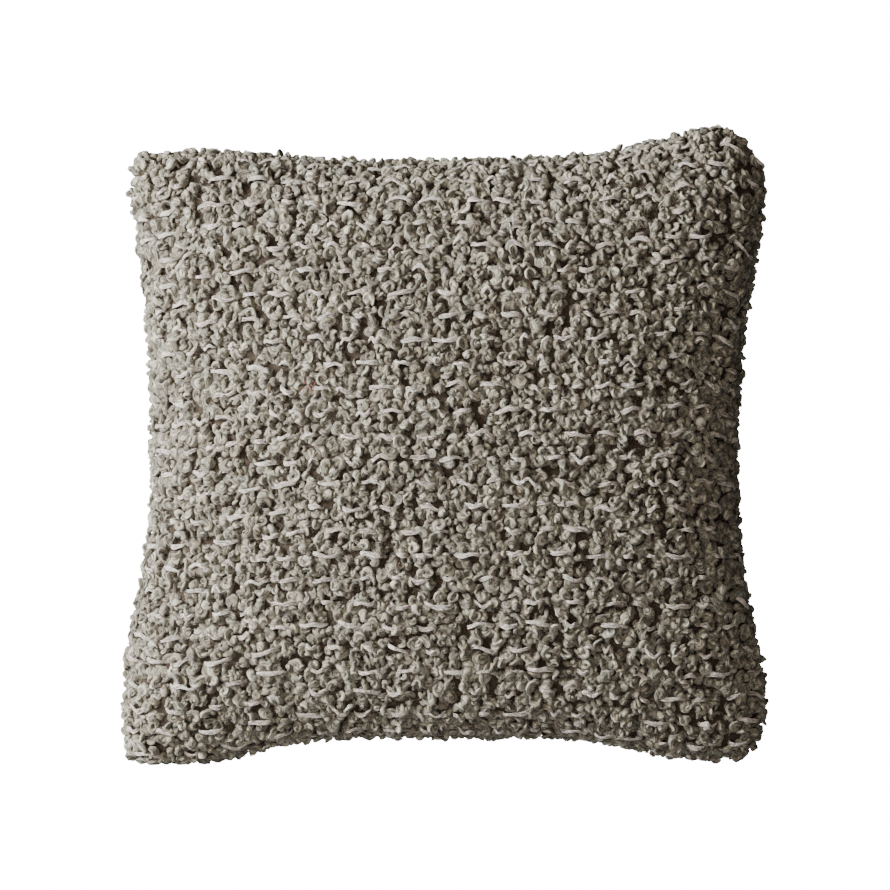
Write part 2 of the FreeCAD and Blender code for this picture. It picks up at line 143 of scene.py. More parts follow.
def stretched_outline(s, t, inset, stretch_x, stretch_z):
    """Offsets (x, z) from the middle. The stretch makes up for what the rounded corners lose."""
    u = form_edge(s)
    v = form_edge(t)
    end_pull = np.where(v < 0, END_PULL + PAD_SINK, END_PULL)
    side_dip = SIDE_PULL + HALF_WIDTH * (stretch_x - 1)
    end_dip = end_pull + HALF_HEIGHT * (stretch_z - 1)
    x = u * (HALF_WIDTH * stretch_x - inset - side_dip * (1 - np.abs(v) ** SIDE_POWER))
    z = v * (HALF_HEIGHT * stretch_z - inset - end_dip * (1 - np.abs(u) ** END_POWER))
    draw_in = 1 - CORNER_ROUND * np.abs(u * v) ** CORNER_POWER
    return x * draw_in, z * draw_in


def full_size_stretch():
    run = np.linspace(0, 1, 60)
    one = np.ones_like(run)
    stretch_x, stretch_z = 1.0, 1.0
    for _ in range(12):
        stretch_x *= HALF_WIDTH / stretched_outline(one, run, 0, stretch_x, stretch_z)[0].max()
        stretch_z *= HALF_HEIGHT / stretched_outline(run, one, 0, stretch_x, stretch_z)[1].max()
    return stretch_x, stretch_z


STRETCH = full_size_stretch()


def outline(s, t, inset):
    """Place (x, z) on the middle plane, with the outline's unevenness fading towards the middle."""
    x, z = stretched_outline(s, t, inset, *STRETCH)
    u = form_edge(s)
    v = form_edge(t)
    x = x + np.where(u > 0, outline_bump("right", v), -outline_bump("left", v)) * np.abs(u) ** BUMP_POWER
    z = z + np.where(v > 0, outline_bump("top", u), -outline_bump("bottom", u)) * np.abs(v) ** BUMP_POWER
    return x, np.maximum(MIDDLE_Z + z, inset)


def mouth(x):
    """How far each panel stands off the middle plane where the zip is."""
    inside = np.clip((ZIP_HALF + MOUTH_EASE / 2 - np.abs(x)) / MOUTH_EASE, 0, 1)
    return inside * inside * (3 - 2 * inside)


def depth_at(s, t, thick, roll):
    cs = np.clip(np.cos(math.pi * s / 2), 0, None)
    ct = np.clip(np.cos(math.pi * t / 2), 0, None)
    rolled = roll * (1 - (1 - cs) ** ROLL_POWER) * (1 - (1 - ct) ** ROLL_POWER)
    return rolled + (HALF_DEPTH - thick - roll) * (cs * ct) ** CROWN_POWER


def soft_swell(x, z):
    """Slow unevenness of the filling: three sets of waves, with heights in millimetres."""
    return (
        1.6 * np.sin(x * 21 + 0.7) * np.sin(z * 17 + 1.1)
        + 1.0 * np.sin(x * 37 + z * 29)
        + 0.7 * np.sin(x * 53 - z * 41 + 2.0)
    ) * MM


def surface(side, s, t, inset=0.0, thick=0.0, roll=EDGE_ROLL):
    """Points of one crowned face, side -1 for the front and 1 for the back."""
    x, z = outline(s, t, inset)
    fullness = np.clip(np.cos(math.pi * s / 2) * np.cos(math.pi * t / 2), 0, 1) ** 0.5
    near_bottom = np.clip(-form_edge(t), 0, 1) ** MOUTH_POWER
    y = CLOTH_BASE + depth_at(s, t, thick, roll) + soft_swell(x, z) * fullness
    y = y + mouth(x) * near_bottom * (MOUTH_HALF - CLOTH_BASE)
    z = np.maximum(z, thick * FOOT_SHARE)
    return np.stack([x, side * y, z], -1)


# Cloth coordinates: a and b run from -1 to 1 across the cut cloth at an even pace along the surface

TABLE = 161
SOLVE_STEPS = 8
SOLVE_PACE = 0.9
SLOPE_STEP = 0.004


class Cloth:
    def __init__(self, side, inset, thick):
        self.side = side
        self.inset = inset
        self.thick = thick
        line = np.linspace(-1, 1, TABLE)
        s, t = np.meshgrid(line, line, indexing="ij")
        points = surface(side, s, t, inset, thick)
        self.across = self.paced(points, 0)
        self.up = self.paced(points, 1)
        middle = TABLE // 2
        self.width = np.linalg.norm(np.diff(points[:, middle], axis=0), axis=-1).sum()
        self.height = np.linalg.norm(np.diff(points[middle], axis=0), axis=-1).sum()

    @staticmethod
    def paced(points, axis):
        """Share of the way along each line of the table, from -1 to 1."""
        step = np.linalg.norm(np.diff(points, axis=axis), axis=-1)
        run = np.cumsum(step, axis=axis)
        pad = [(0, 0), (0, 0)]
        pad[axis] = (1, 0)
        run = np.pad(run, pad)
        last = np.take(run, [-1], axis=axis)
        return 2 * run / last - 1

    def look_up(self, table, s, t):
        i = np.clip((s + 1) / 2 * (TABLE - 1), 0, TABLE - 1.001)
        j = np.clip((t + 1) / 2 * (TABLE - 1), 0, TABLE - 1.001)
        i0 = i.astype(int)
        j0 = j.astype(int)
        fi = i - i0
        fj = j - j0
        low = table[i0, j0] * (1 - fi) + table[i0 + 1, j0] * fi
        high = table[i0, j0 + 1] * (1 - fi) + table[i0 + 1, j0 + 1] * fi
        return low * (1 - fj) + high * fj

    def to_form(self, a, b):
        """Form coordinates (s, t) of cloth coordinates (a, b)."""
        s = a.copy()
        t = b.copy()
        for _ in range(SOLVE_STEPS):
            s = np.clip(s + (a - self.look_up(self.across, s, t)) * SOLVE_PACE, -1, 1)
            t = np.clip(t + (b - self.look_up(self.up, s, t)) * SOLVE_PACE, -1, 1)
        return s, t

    def place(self, a, b):
        """Point, outward normal and row direction at cloth coordinates (a, b)."""
        s, t = self.to_form(a, b)
        s0 = np.clip(s, -1 + SLOPE_STEP, 1 - SLOPE_STEP)
        t0 = np.clip(t, -1 + SLOPE_STEP, 1 - SLOPE_STEP)
        point = surface(self.side, s, t, self.inset, self.thick)
        right = surface(self.side, s0 + SLOPE_STEP, t0, self.inset, self.thick)
        left = surface(self.side, s0 - SLOPE_STEP, t0, self.inset, self.thick)
        high = surface(self.side, s0, t0 + SLOPE_STEP, self.inset, self.thick)
        low = surface(self.side, s0, t0 - SLOPE_STEP, self.inset, self.thick)
        along = unit(right - left)
        up = unit(high - low)
        normal = unit(np.cross(along, up)) * self.side
        normal = np.where((normal[..., 1:2] * self.side) < 0, -normal, normal)
        return point, normal, along


def unit(v):
    return v / np.maximum(np.linalg.norm(v, axis=-1, keepdims=True), 1e-12)


# Meshes

# How far a flattened strand turns about itself, in radians per millimetre
LAY_TURN = 0.16
BAKE_MARGIN = 0.08


def mesh_object(name, verts, loops, starts, totals):
    mesh = bpy.data.meshes.new(name)
    mesh.vertices.add(len(verts))
    mesh.vertices.foreach_set("co", np.asarray(verts, np.float32).ravel())
    mesh.loops.add(len(loops))
    mesh.loops.foreach_set("vertex_index", np.asarray(loops, np.int32))
    mesh.polygons.add(len(starts))
    mesh.polygons.foreach_set("loop_start", np.asarray(starts, np.int32))
    mesh.polygons.foreach_set("loop_total", np.asarray(totals, np.int32))
    mesh.update(calc_edges=True)
    mesh.polygons.foreach_set("use_smooth", np.full(len(starts), True))
    obj = bpy.data.objects.new(name, mesh)
    bpy.context.scene.collection.objects.link(obj)
    return obj


def add_attribute(obj, name, kind, values):
    attribute = obj.data.attributes.new(name, kind, "POINT")
    key = "vector" if kind == "FLOAT_VECTOR" else "value"
    attribute.data.foreach_set(key, np.asarray(values, np.float32).ravel())


def clear_of_zip(verts):
    """Strands that would hang over the zip's mouth are moved aside, so the pull can run past them."""
    x = verts[..., 0].mean(axis=(1, 2))
    low = verts[..., 2].min(axis=(1, 2))
    limit = -(SLIDER_HALF + PULL_CLEAR) * mouth(x)
    over = np.clip(verts[..., 1].max(axis=(1, 2)) - limit, 0, None)
    over = np.where((low < ZIP_TOP) & (mouth(x) > 0), over, 0)
    verts[..., 1] -= over[:, None, None]


def tubes(name, paths, radii, up, sides, lumps=0.0, twist=0.25, tint=None, flat=1.0, front=True):
    """Many closed strands in one mesh. paths is (strands, points, 3), radii (strands, points).

    flat is the width of a strand's section over its thickness; the section turns along the strand.
    Strands in front of the middle plane are kept clear of the zip when front is true.
    """
    count, length, _ = paths.shape
    tangent = unit(np.gradient(paths, axis=1))
    side = unit(np.cross(tangent, up + 1e-4))
    top = np.cross(side, tangent)
    angle = np.linspace(0, 2 * math.pi, sides, endpoint=False)
    step = np.linalg.norm(np.diff(paths, axis=1), axis=-1)
    run = np.pad(np.cumsum(step, axis=1), [(0, 0), (1, 0)]) / MM
    lay = RNG.uniform(0, math.pi, (count, 1)) + run * RNG.uniform(-LAY_TURN, LAY_TURN, (count, 1))
    lay = lay[..., None]
    wide_way = side * np.cos(lay) + top * np.sin(lay)
    thin_way = top * np.cos(lay) - side * np.sin(lay)
    wide = math.sqrt(flat)
    ring = (
        np.cos(angle)[None, None, :, None] * wide_way[:, :, None, :] * wide
        + np.sin(angle)[None, None, :, None] * thin_way[:, :, None, :] / wide
    )
    turned = angle[None, None, :] + run[:, :, None] * twist
    phase = RNG.uniform(0, 2 * math.pi, (3, count, 1, 1))
    lump = (
        np.cos(2 * turned + phase[0])
        + 0.7 * np.cos(3 * turned - run[:, :, None] * 0.5 + phase[1])
        + 0.6 * np.cos(run[:, :, None] * 0.9 + turned + phase[2])
    )
    crease = np.cos(run[:, :, None] * 0.55 + turned + phase[1] * 2)
    lump = lump - 1.5 * np.exp(-((crease / 0.4) ** 2))
    verts = paths[:, :, None, :] + ring * (radii[:, :, None] * (1 + lumps * lump))[..., None]
    verts[..., 2] = np.maximum(verts[..., 2], FLOOR_CLEAR)
    if front:
        clear_of_zip(verts)
    index = np.arange(count * length * sides).reshape(count, length, sides)
    around = np.roll(index, -1, axis=2)
    quads = np.stack([index[:, :-1], around[:, :-1], around[:, 1:], index[:, 1:]], -1).reshape(-1, 4)
    caps = np.concatenate([index[:, 0, ::-1], index[:, -1]])
    loops = np.concatenate([quads.ravel(), caps.ravel()])
    totals = np.concatenate([np.full(len(quads), 4), np.full(len(caps), sides)])
    starts = np.concatenate([[0], np.cumsum(totals)[:-1]])
    obj = mesh_object(name, verts.reshape(-1, 3), loops, starts, totals)
    offset = RNG.uniform(0, 500, (count, 1, 1))
    strand = np.stack([
        np.broadcast_to(run[:, :, None] + offset, turned.shape),
        np.cos(turned),
        np.sin(turned),
    ], -1)
    add_attribute(obj, "strand", "FLOAT_VECTOR", strand)
    if tint is None:
        tint = RNG.uniform(0, 1, count)
    add_attribute(obj, "tint", "FLOAT", np.repeat(tint, length * sides))
    bake_map(obj, count, length, sides, len(quads))
    return obj


def bake_map(obj, count, length, sides, quad_count):
    """Each strand is laid out flat in a cell of its own."""
    cells = math.ceil(math.sqrt(count))
    margin = BAKE_MARGIN
    cell = np.arange(count)
    col = (cell % cells)[:, None, None, None]
    row = (cell // cells)[:, None, None, None]
    p = np.arange(length - 1)[None, :, None, None]
    r = np.arange(sides)[None, None, :, None]
    dp = np.array([0, 0, 1, 1])
    dr = np.array([0, 1, 1, 0])
    inside = 1 - 2 * margin
    u = (col + margin + inside * (p + dp) / (length - 1)) / cells
    v = (row + margin + inside * (r + dr) / sides) / cells
    u, v = np.broadcast_arrays(u, v)
    angle = np.linspace(0, 2 * math.pi, sides, endpoint=False)
    caps = []
    for place in (margin * 0.5, 1 - margin * 0.5):
        cu = (cell[:, None] % cells + place + margin * 0.3 * np.cos(angle)) / cells
        cv = (cell[:, None] // cells + 0.5 + margin * 0.3 * np.sin(angle)) / cells
        caps.append(np.stack([cu, cv], -1).reshape(-1, 2))
    uv = np.concatenate([np.stack([u, v], -1).reshape(-1, 2)] + caps)
    layer = obj.data.uv_layers.new(name="OFBake")
    layer.uv.foreach_set("vector", uv.astype(np.float32).ravel())


def grid_object(name, outer, inner):
    """A closed shell of quads between two (rows, columns, 3) arrays of points."""
    n, m, _ = outer.shape
    front = np.arange(n * m).reshape(n, m)
    back = front + n * m
    rim = np.concatenate([front[:-1, 0], front[-1, :-1], front[:0:-1, -1], front[0, :0:-1]])
    after = np.roll(rim, -1)
    faces = np.concatenate([
        np.stack([front[:-1, :-1], front[1:, :-1], front[1:, 1:], front[:-1, 1:]], -1).reshape(-1, 4),
        np.stack([back[:-1, :-1], back[:-1, 1:], back[1:, 1:], back[1:, :-1]], -1).reshape(-1, 4),
        np.stack([after, rim, rim + n * m, after + n * m], -1),
    ])
    verts = np.concatenate([outer.reshape(-1, 3), inner.reshape(-1, 3)])
    totals = np.full(len(faces), 4)
    starts = np.arange(len(faces)) * 4
    return mesh_object(name, verts, faces.ravel(), starts, totals)


def sheet_grid(count):
    line = np.linspace(-1, 1, count)
    return np.meshgrid(line, line, indexing="ij")


# Materials

class Nodes:
    """Short names for building a node tree."""

    def __init__(self, name):
        self.material = bpy.data.materials.new(name)
        self.material.use_nodes = True
        self.tree = self.material.node_tree
        self.shader = self.tree.nodes["Principled BSDF"]

    def add(self, kind, **values):
        node = self.tree.nodes.new(kind)
        for key, value in values.items():
            setattr(node, key, value)
        return node

    def link(self, a, b):
        self.tree.links.new(a, b)

    def attribute(self, name, output):
        return self.add("ShaderNodeAttribute", attribute_name=name).outputs[output]

    def position(self):
        return self.add("ShaderNodeNewGeometry").outputs["Position"]

    def scaled(self, vector, scale):
        node = self.add("ShaderNodeMapping")
        node.inputs["Scale"].default_value = scale
        self.link(vector, node.inputs["Vector"])
        return node.outputs["Vector"]

    def noise(self, vector, scale, detail=2.0, rough=0.5):
        node = self.add("ShaderNodeTexNoise")
        node.inputs["Scale"].default_value = scale
        node.inputs["Detail"].default_value = detail
        node.inputs["Roughness"].default_value = rough
        self.link(vector, node.inputs["Vector"])
        return node.outputs["Fac"]

    def ramp(self, value, *stops):
        node = self.add("ShaderNodeValToRGB")
        elements = node.color_ramp.elements
        while len(elements) < len(stops):
            elements.new(0.5)
        for element, (place, color) in zip(elements, stops):
            element.position = place
            element.color = (*color, 1)
        self.link(value, node.inputs["Fac"])
        return node.outputs["Color"]

    def mix(self, factor, a, b, blend="MIX"):
        node = self.add("ShaderNodeMix", data_type="RGBA", blend_type=blend)
        for value, socket in ((factor, 0), (a, 6), (b, 7)):
            if isinstance(value, (int, float, tuple)):
                node.inputs[socket].default_value = (*value, 1) if isinstance(value, tuple) else value
            else:
                self.link(value, node.inputs[socket])
        return node.outputs[2]

    def math(self, operation, a, b=0.5):
        node = self.add("ShaderNodeMath", operation=operation)
        for value, socket in ((a, 0), (b, 1)):
            if isinstance(value, (int, float)):
                node.inputs[socket].default_value = value
            else:
                self.link(value, node.inputs[socket])
        return node.outputs[0]

    def grey(self, low, high, value):
        node = self.add("ShaderNodeMapRange")
        node.inputs["To Min"].default_value = low
        node.inputs["To Max"].default_value = high
        self.link(value, node.inputs["Value"])
        return node.outputs["Result"]

    def bump(self, height, distance, strength=1.0):
        node = self.add("ShaderNodeBump")
        node.inputs["Strength"].default_value = strength
        node.inputs["Distance"].default_value = distance
        self.link(height, node.inputs["Height"])
        self.link(node.outputs["Normal"], self.shader.inputs["Normal"])

    def constant(self, **values):
        for key, value in values.items():
            self.shader.inputs[key.replace("_", " ")].default_value = value


def yarn_material(name, stops, streak_dark, sheen):
    """Spun yarn: fibres run along each strand, and every strand has a tint of its own."""
    n = Nodes(name)
    strand = n.attribute("strand", "Vector")
    folds = n.noise(n.scaled(strand, (0.26, 0.9, 0.9)), 1.0, 2.0, 0.5)
    streaks = n.noise(n.scaled(strand, (0.14, 2.0, 2.0)), 1.2, 2.0, 0.5)
    fine = n.noise(n.scaled(strand, (0.2, 4.2, 4.2)), 1.3, 2.0, 0.5)
    tint = n.attribute("tint", "Fac")
    clumps = n.noise(n.scaled(n.position(), (45, 45, 45)), 1.0, 2.0)
    shade = n.math("ADD", n.math("MULTIPLY", tint, 0.70), n.math("MULTIPLY", clumps, 0.35))
    color = n.ramp(shade, *stops)
    lines = n.ramp(streaks, (0.41, (streak_dark,) * 3), (0.50, (0.95,) * 3), (0.60, (1.30,) * 3))
    color = n.mix(1.0, color, lines, "MULTIPLY")
    color = n.mix(0.7, color, n.ramp(fine, (0.40, (0.50,) * 3), (0.60, (1.30,) * 3)), "MULTIPLY")
    # Painted shade: the colour darkens to 0.38 of itself in the hollows of the folds, where the bump below
    # is lowest.
    color = n.mix(0.8, color, n.ramp(folds, (0.38, (0.38,) * 3), (0.50, (1.0,) * 3)), "MULTIPLY")
    n.link(color, n.shader.inputs["Base Color"])
    n.link(n.grey(0.85, 1.0, fine), n.shader.inputs["Roughness"])
    height = n.math("ADD", n.grey(0.0, 1.0, streaks), n.math("MULTIPLY", fine, 0.35))
    height = n.math("ADD", height, n.math("MULTIPLY", folds, 1.6))
    n.bump(height, 1.6 * MM, 1.0)
    n.constant(Sheen_Weight=sheen, Sheen_Roughness=0.6, Specular_IOR_Level=0.12)
    return n.material


def woven_material(name, light, dark, threads, bump=0.35 * MM):
    """Plain weave: two crossing sets of threads with slubs and uneven dye."""
    n = Nodes(name)
    position = n.position()
    parts = n.add("ShaderNodeSeparateXYZ")
    n.link(position, parts.inputs[0])
    wobble = n.noise(n.scaled(position, (30, 30, 30)), 1.0, 2.0)
    bend = n.math("MULTIPLY", wobble, 1.2)
    waves = []
    for axis in ("X", "Z"):
        run = n.math("ADD", n.math("MULTIPLY", parts.outputs[axis], threads), bend)
        waves.append(n.math("ABSOLUTE", n.math("SINE", run)))
    weave = n.math("MULTIPLY", *waves)
    slub = n.noise(n.scaled(position, (threads * 0.08, 200, threads * 0.6)), 1.0, 3.0)
    patch = n.noise(n.scaled(position, (9, 9, 9)), 1.0, 3.0)
    color = n.mix(weave, dark, light)
    color = n.mix(0.5, color, n.ramp(slub, (0.3, (0.78,) * 3), (0.7, (1.12,) * 3)), "MULTIPLY")
    color = n.mix(0.6, color, n.ramp(patch, (0.3, (0.86,) * 3), (0.7, (1.1,) * 3)), "MULTIPLY")
    n.link(color, n.shader.inputs["Base Color"])
    n.link(n.grey(0.8, 1.0, slub), n.shader.inputs["Roughness"])
    n.bump(n.math("ADD", weave, n.math("MULTIPLY", slub, 0.5)), bump, 0.8)
    n.constant(Sheen_Weight=0.15, Sheen_Roughness=0.5, Specular_IOR_Level=0.2)
    return n.material


def ground_and_shade_material():
    """The woven ground deep between the loops, coloured near-black as painted shade in the gaps."""
    n = Nodes("ground_cloth_and_painted_shade")
    position = n.position()
    fibres = n.noise(n.scaled(position, (900, 900, 900)), 1.0, 3.0)
    patch = n.noise(n.scaled(position, (120, 120, 120)), 1.0, 2.0)
    # Painted shade: the ground is kept near-black so the gaps between the loops look shaded.
    color = n.ramp(fibres, (0.3, (0.020, 0.015, 0.011)), (0.75, (0.090, 0.072, 0.054)))
    color = n.mix(0.5, color, n.ramp(patch, (0.3, (0.6,) * 3), (0.7, (1.1,) * 3)), "MULTIPLY")
    n.link(color, n.shader.inputs["Base Color"])
    n.bump(fibres, 0.8 * MM)
    n.constant(Roughness=1.0, Specular_IOR_Level=0.05)
    return n.material


def metal_material(name, light, dark):
    n = Nodes(name)
    position = n.position()
    wear = n.noise(n.scaled(position, (700, 700, 700)), 1.0, 4.0, 0.6)
    brushed = n.noise(n.scaled(position, (300, 6000, 6000)), 1.0, 2.0)
    n.link(n.ramp(wear, (0.35, dark), (0.65, light)), n.shader.inputs["Base Color"])
    n.link(n.grey(0.28, 0.55, wear), n.shader.inputs["Roughness"])
    n.bump(brushed, 0.02 * MM, 0.6)
    n.constant(Metallic=1.0)
    return n.material


def nylon_material(name, light, dark):
    n = Nodes(name)
    position = n.position()
    mottle = n.noise(n.scaled(position, (500, 500, 500)), 1.0, 3.0)
    n.link(n.ramp(mottle, (0.3, dark), (0.7, light)), n.shader.inputs["Base Color"])
    n.link(n.grey(0.35, 0.55, mottle), n.shader.inputs["Roughness"])
    n.bump(mottle, 0.03 * MM, 0.5)
    n.constant(Specular_IOR_Level=0.45)
    return n.material


def fibre_material(name, light, dark):
    n = Nodes(name)
    position = n.position()
    wisps = n.noise(n.scaled(position, (160, 60, 160)), 1.0, 5.0, 0.7)
    n.link(n.ramp(wisps, (0.3, dark), (0.7, light)), n.shader.inputs["Base Color"])
    n.bump(wisps, 2 * MM, 0.8)
    n.constant(Roughness=0.95, Sheen_Weight=0.3, Specular_IOR_Level=0.1)
    return n.material


def use(obj, material):
    obj.data.materials.clear()
    obj.data.materials.append(material)


NUB_YARN = yarn_material(
    "boucle_yarn",
    [
        (0.12, (0.140, 0.116, 0.083)),
        (0.32, (0.220, 0.197, 0.145)),
        (0.55, (0.275, 0.261, 0.200)),
        (0.80, (0.335, 0.318, 0.252)),
        (0.95, (0.430, 0.380, 0.312)),
    ],
    0.42,
    0.2,
)
BINDER_YARN = yarn_material(
    "binder_yarn",
    [
        (0.15, (0.700, 0.610, 0.530)),
        (0.50, (0.820, 0.740, 0.660)),
        (0.90, (0.880, 0.820, 0.750)),
    ],
    0.75,
    0.15,
)
RED_YARN = yarn_material(
    "red_yarn",
    [
        (0.20, (0.420, 0.090, 0.080)),
        (0.80, (0.560, 0.160, 0.130)),
    ],
    0.70,
    0.15,
)
GROUND_AND_SHADE = ground_and_shade_material()
BACK_CLOTH = woven_material("back_cloth", (0.50, 0.44, 0.36), (0.33, 0.28, 0.22), 3200)
CASING = woven_material("casing", (0.86, 0.85, 0.82), (0.70, 0.69, 0.66), 5200)
TAPE = woven_material("zip_tape", (0.27, 0.235, 0.19), (0.16, 0.135, 0.105), 9000, bump=0.12 * MM)
THREAD = woven_material("thread", (0.36, 0.31, 0.25), (0.24, 0.20, 0.16), 12000, bump=0.1 * MM)
WHITE_THREAD = woven_material("casing_thread", (0.88, 0.87, 0.84), (0.74, 0.73, 0.70), 12000, bump=0.1 * MM)
COIL = nylon_material("zip_coil", (0.30, 0.26, 0.21), (0.20, 0.17, 0.13))
METAL = metal_material("zip_metal", (0.62, 0.58, 0.50), (0.36, 0.33, 0.27))
FILLING = fibre_material("filling", (0.92, 0.92, 0.90), (0.78, 0.78, 0.76))


# Cover

def front_ground():
    s, t = sheet_grid(150)
    outer = surface(-1, s, t, GROUND_INSET, GROUND_DROP)
    inner = surface(-1, s, t, GROUND_INSET + GROUND_THICK, GROUND_DROP + GROUND_THICK)
    inner[..., 1] = np.minimum(inner[..., 1], -CLOTH_BASE)
    obj = grid_object("front_ground", outer, inner)
    use(obj, GROUND_AND_SHADE)
    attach(obj, "cover")
    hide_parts("front_panel")


def puckers(s, t, points):
    """Small gathers that run in from the seam, and folds that fan out from each corner."""
    cs = np.clip(np.cos(math.pi * s / 2), 0, None)
    ct = np.clip(np.cos(math.pi * t / 2), 0, None)
    total = np.zeros_like(s)
    for near, run, seed in ((cs, points[..., 2], 0.3), (ct, points[..., 0], 1.9)):
        fade = np.exp(-(near / 0.28) ** 2) * (1 - np.exp(-(near / 0.06) ** 2))
        wave = np.sin(run * 330 + 3 * np.sin(run * 41 + seed)) + 0.6 * np.sin(run * 190 + seed * 3)
        total += fade * wave
    for corner_s in (-1, 1):
        for corner_t in (-1, 1):
            far = np.hypot(s - corner_s, t - corner_t)
            angle = np.arctan2(np.abs(t - corner_t), np.abs(s - corner_s))
            fold = np.sin(angle * 13 + corner_s * 1.3 + corner_t * 0.6 + far * 2)
            total += 2.2 * fold * np.exp(-((far / 0.5) ** 2)) * (1 - np.exp(-((far / 0.16) ** 2)))
    return total


def back_cloth():
    s, t = sheet_grid(260)
    outer = surface(1, s, t, BACK_INSET)
    outer[..., 1] += puckers(s, t, outer) * OUTER_PUCKER
    inner = surface(1, s, t, BACK_INSET + BACK_TURN_IN, BACK_THICK)
    inner[..., 1] = np.maximum(inner[..., 1] + puckers(s, t, inner) * INNER_PUCKER, CLOTH_BASE)
    obj = grid_object("back_cloth", outer[::-1], inner[::-1])
    use(obj, BACK_CLOTH)
    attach(obj, "cover")
    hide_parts("back_panel")


# Looped yarn

FRONT = Cloth(-1, GROUND_INSET, GROUND_DROP)
ROWS = int(round(FRONT.height / ROW_PITCH))
COLUMNS = int(round(FRONT.width / NUB_PITCH))
BANDS = 6
NUB_ROWS = (0.27, 0.75)
KNOT_SHARE = 0.35
LOOP_RISE = 0.55
TUCK = 0.01
RIM_END = 0.995
RIM_PITCH = 7 * MM
RIM_LAYERS = (0.998, 0.982)
FILLER_SHARE = 3.6
FILLER_PARTS = 3

# Ranges of shapes to draw from: turns in radians, the radius, lift and sink in millimetres
LOOP = {
    "turn": (2.6, 4.8), "radius": (2.4, 3.6), "lift": (0.4, 2.8),
    "sink": (0.5, 2.0), "spiral": (-0.35, 0.35), "oval": (0.65, 1.0),
}
KNOT = {"turn": (4.5, 6.5), "radius": (1.6, 2.4), "spiral": (0.3, 0.6)}
RIM = {
    "turn": (3.4, 7.0), "radius": (1.8, 3.0), "lift": (0.8, 4.2),
    "sink": (0.5, 1.5), "spiral": (-0.3, 0.5), "oval": (0.65, 1.0),
}
FILLER = {
    "turn": (2.0, 4.5), "radius": (2.0, 3.6), "lift": (0.4, 2.3),
    "sink": (1.0, 2.0), "spiral": (-0.4, 0.4), "oval": (0.5, 1.0),
}

# Strand radii
THICK_YARN = (2.6 * MM, 3.9 * MM)
THIN_YARN = (1.8 * MM, 2.7 * MM)
BINDER_STRAND = (0.66 * MM, 1.00 * MM)


def curl_shape(kind, count, knots=None):
    """Draws a shape for each curl. Where knots is true, the ranges in KNOT take the place of kind's."""
    shape = {}
    for name in ("turn", "radius", "lift", "sink", "spiral", "oval"):
        tight = RNG.uniform(*KNOT[name], count) if knots is not None and name in KNOT else None
        loose = RNG.uniform(*kind[name], count)
        shape[name] = loose if tight is None else np.where(knots, tight, loose)
    for name in ("radius", "lift", "sink"):
        shape[name] = shape[name] * MM
    return shape


def curl_paths(a, b, length, turn, radius, lift, sink, spiral, oval):
    """Curled loops of yarn that rise out of the cloth and go back into it."""
    point, normal, along = FRONT.place(a, b)
    across = np.cross(normal, along)
    count = len(a)
    tau = np.linspace(0, 1, length)[None, :]
    start = RNG.uniform(0, 2 * math.pi, (count, 1))
    way = np.where(RNG.random((count, 1)) < 0.5, -1, 1)
    phi = start + way * turn[:, None] * tau
    reach = radius[:, None] * (1 + spiral[:, None] * (2 * tau - 1))
    reach = reach * (1 + 0.12 * np.sin(phi * 2.3 + start * 5))
    x = reach * np.cos(phi)
    y = reach * np.sin(phi) * oval[:, None]
    spin = RNG.uniform(0, math.pi, (count, 1))
    x, y = x * np.cos(spin) - y * np.sin(spin), x * np.sin(spin) + y * np.cos(spin)
    lean = RNG.uniform(-0.45, 0.45, (count, 2, 1))
    rise = np.sin(math.pi * tau) ** LOOP_RISE
    height = -sink[:, None] + (lift + sink)[:, None] * rise
    height = height + (x * lean[:, 0] + y * lean[:, 1]) * rise
    paths = (
        point[:, None]
        + along[:, None] * x[..., None]
        + across[:, None] * y[..., None]
        + normal[:, None] * height[..., None]
    )
    return paths, normal[:, None] + 0 * paths


def thickness(count, length, low, high):
    """Strand radii that swell and thin along each strand and taper into the cloth."""
    tau = np.linspace(0, 1, length)[None, :]
    full = RNG.uniform(low, high, (count, 1))
    phase = RNG.uniform(0, 2 * math.pi, (count, 1))
    slub = 1 + 0.14 * np.sin(tau * RNG.uniform(5, 12, (count, 1)) + phase)
    taper = 0.62 + 0.38 * np.sin(math.pi * tau) ** 0.5
    return full * slub * taper


def nub_places():
    """Two rows of loops between one row of binder yarn and the next."""
    spots = []
    for row in range(ROWS):
        for half in NUB_ROWS:
            b = -1 + 2 * (row + half) / ROWS
            shift = RNG.uniform(0, 1)
            for column in range(COLUMNS):
                a = -1 + 2 * (column + shift) / COLUMNS
                spots.append((a, b))
    spots = np.array(spots)
    spots[:, 0] += RNG.normal(0, 0.2 * 2 / COLUMNS, len(spots))
    spots[:, 1] += RNG.normal(0, 0.07 * 2 / ROWS, len(spots))
    return spots


def ride_cover(obj, material):
    use(obj, material)
    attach(obj, "cover")


def band_of(b):
    return np.clip(((b + 1) / 2 * BANDS).astype(int), 0, BANDS - 1)


def loops_of_yarn():
    """The main loops, in bands from bottom to top so that no mesh grows too large."""
    spots = nub_places()
    spots = spots[(np.abs(spots) < ROLL_REACH + TUCK).all(axis=1)]
    band = band_of(spots[:, 1])
    length = 19
    for number in range(BANDS):
        a, b = spots[band == number].T
        count = len(a)
        knots = RNG.random(count) < KNOT_SHARE
        paths, up = curl_paths(a, b, length, **curl_shape(LOOP, count, knots))
        radii = thickness(count, length, *THICK_YARN)
        obj = tubes("boucle_loops_%d" % number, paths, radii, up, 14, lumps=0.19, flat=1.7)
        ride_cover(obj, NUB_YARN)


